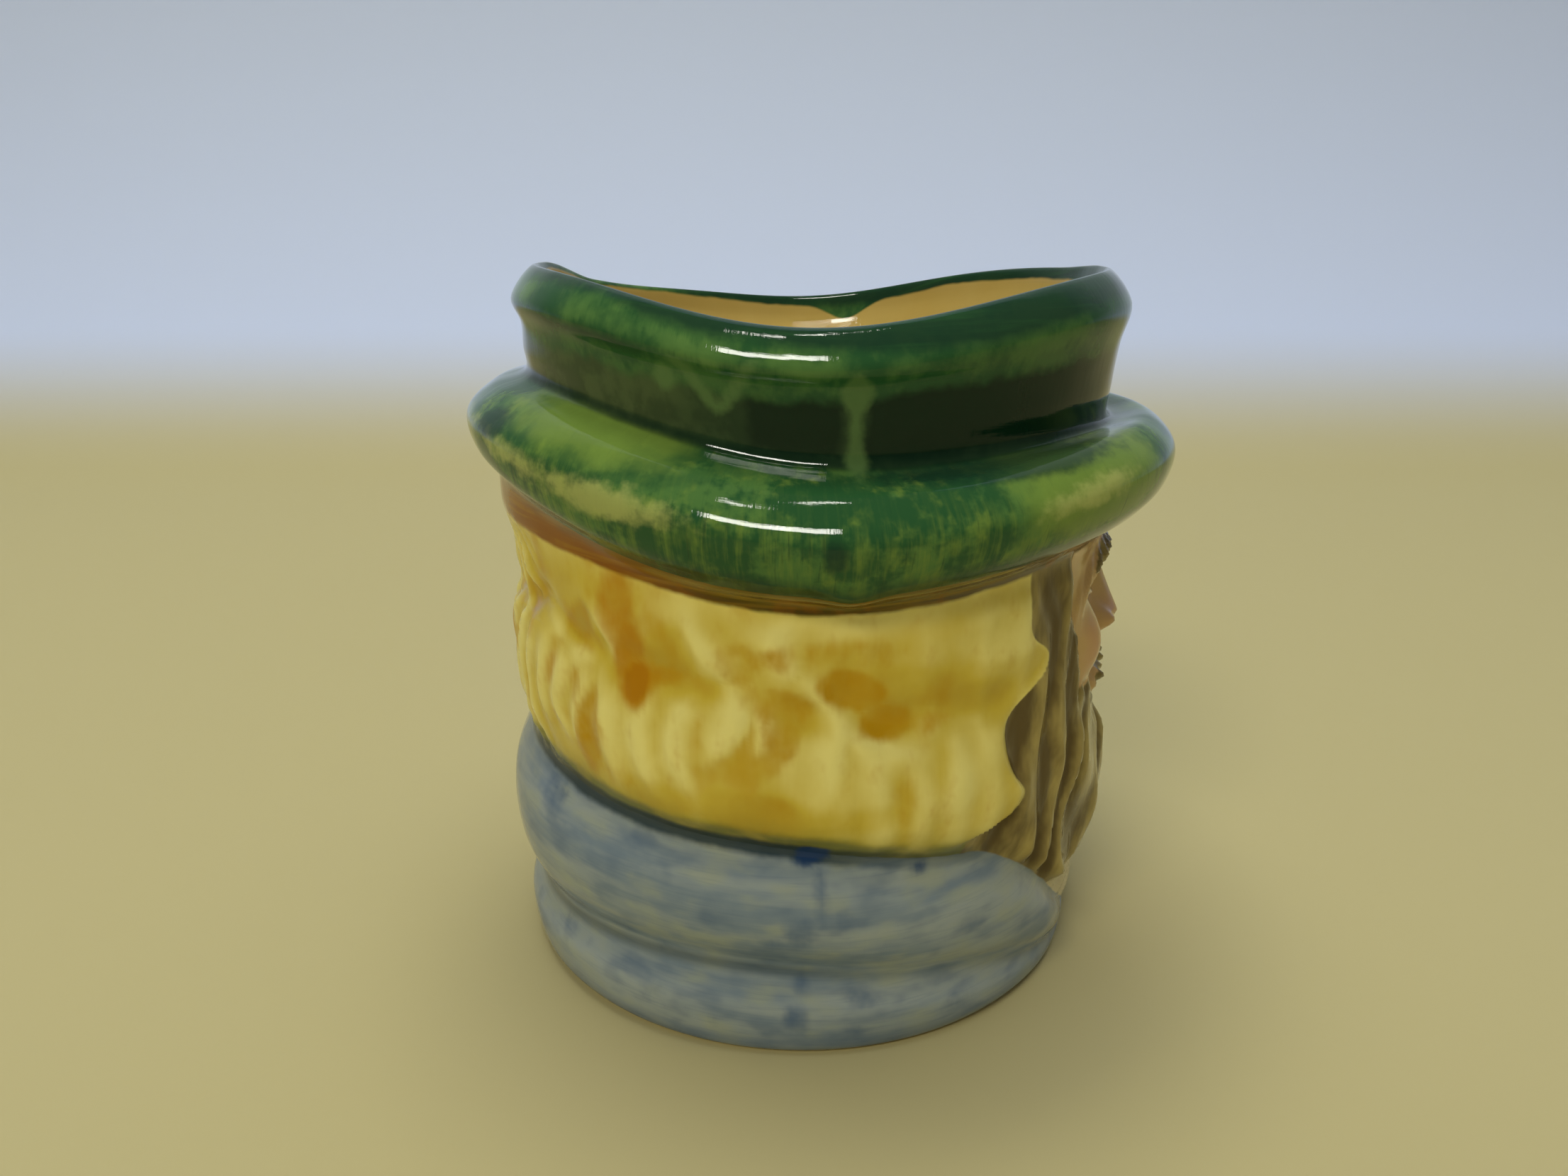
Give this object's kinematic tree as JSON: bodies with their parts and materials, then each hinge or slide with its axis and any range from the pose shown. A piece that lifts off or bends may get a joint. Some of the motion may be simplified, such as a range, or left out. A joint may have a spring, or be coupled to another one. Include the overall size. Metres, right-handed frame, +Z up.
{
  "type": "toby jug",
  "caption": "Small glazed earthenware character jug: a bearded head in a low brimmed hat, hollow and open at the top, with a rolled collar for its base and a loop handle at one side.",
  "frame": {"origin": "middle of the jug's outline on the table plane, handle included; the foot's own centre lies 7.6 mm to -X and 2.25 mm to +Y of it", "axes": "+Z up; the face looks along -Y; the handle stands out along +X, at the head's left side"},
  "size_m": [0.087, 0.07, 0.0699],
  "materials": {
    "painted_glaze": "glossy clear glaze over hand-painted colours"
  },
  "bodies": {
    "root": {"jug": "painted_glaze"}
  },
  "joints": []
}
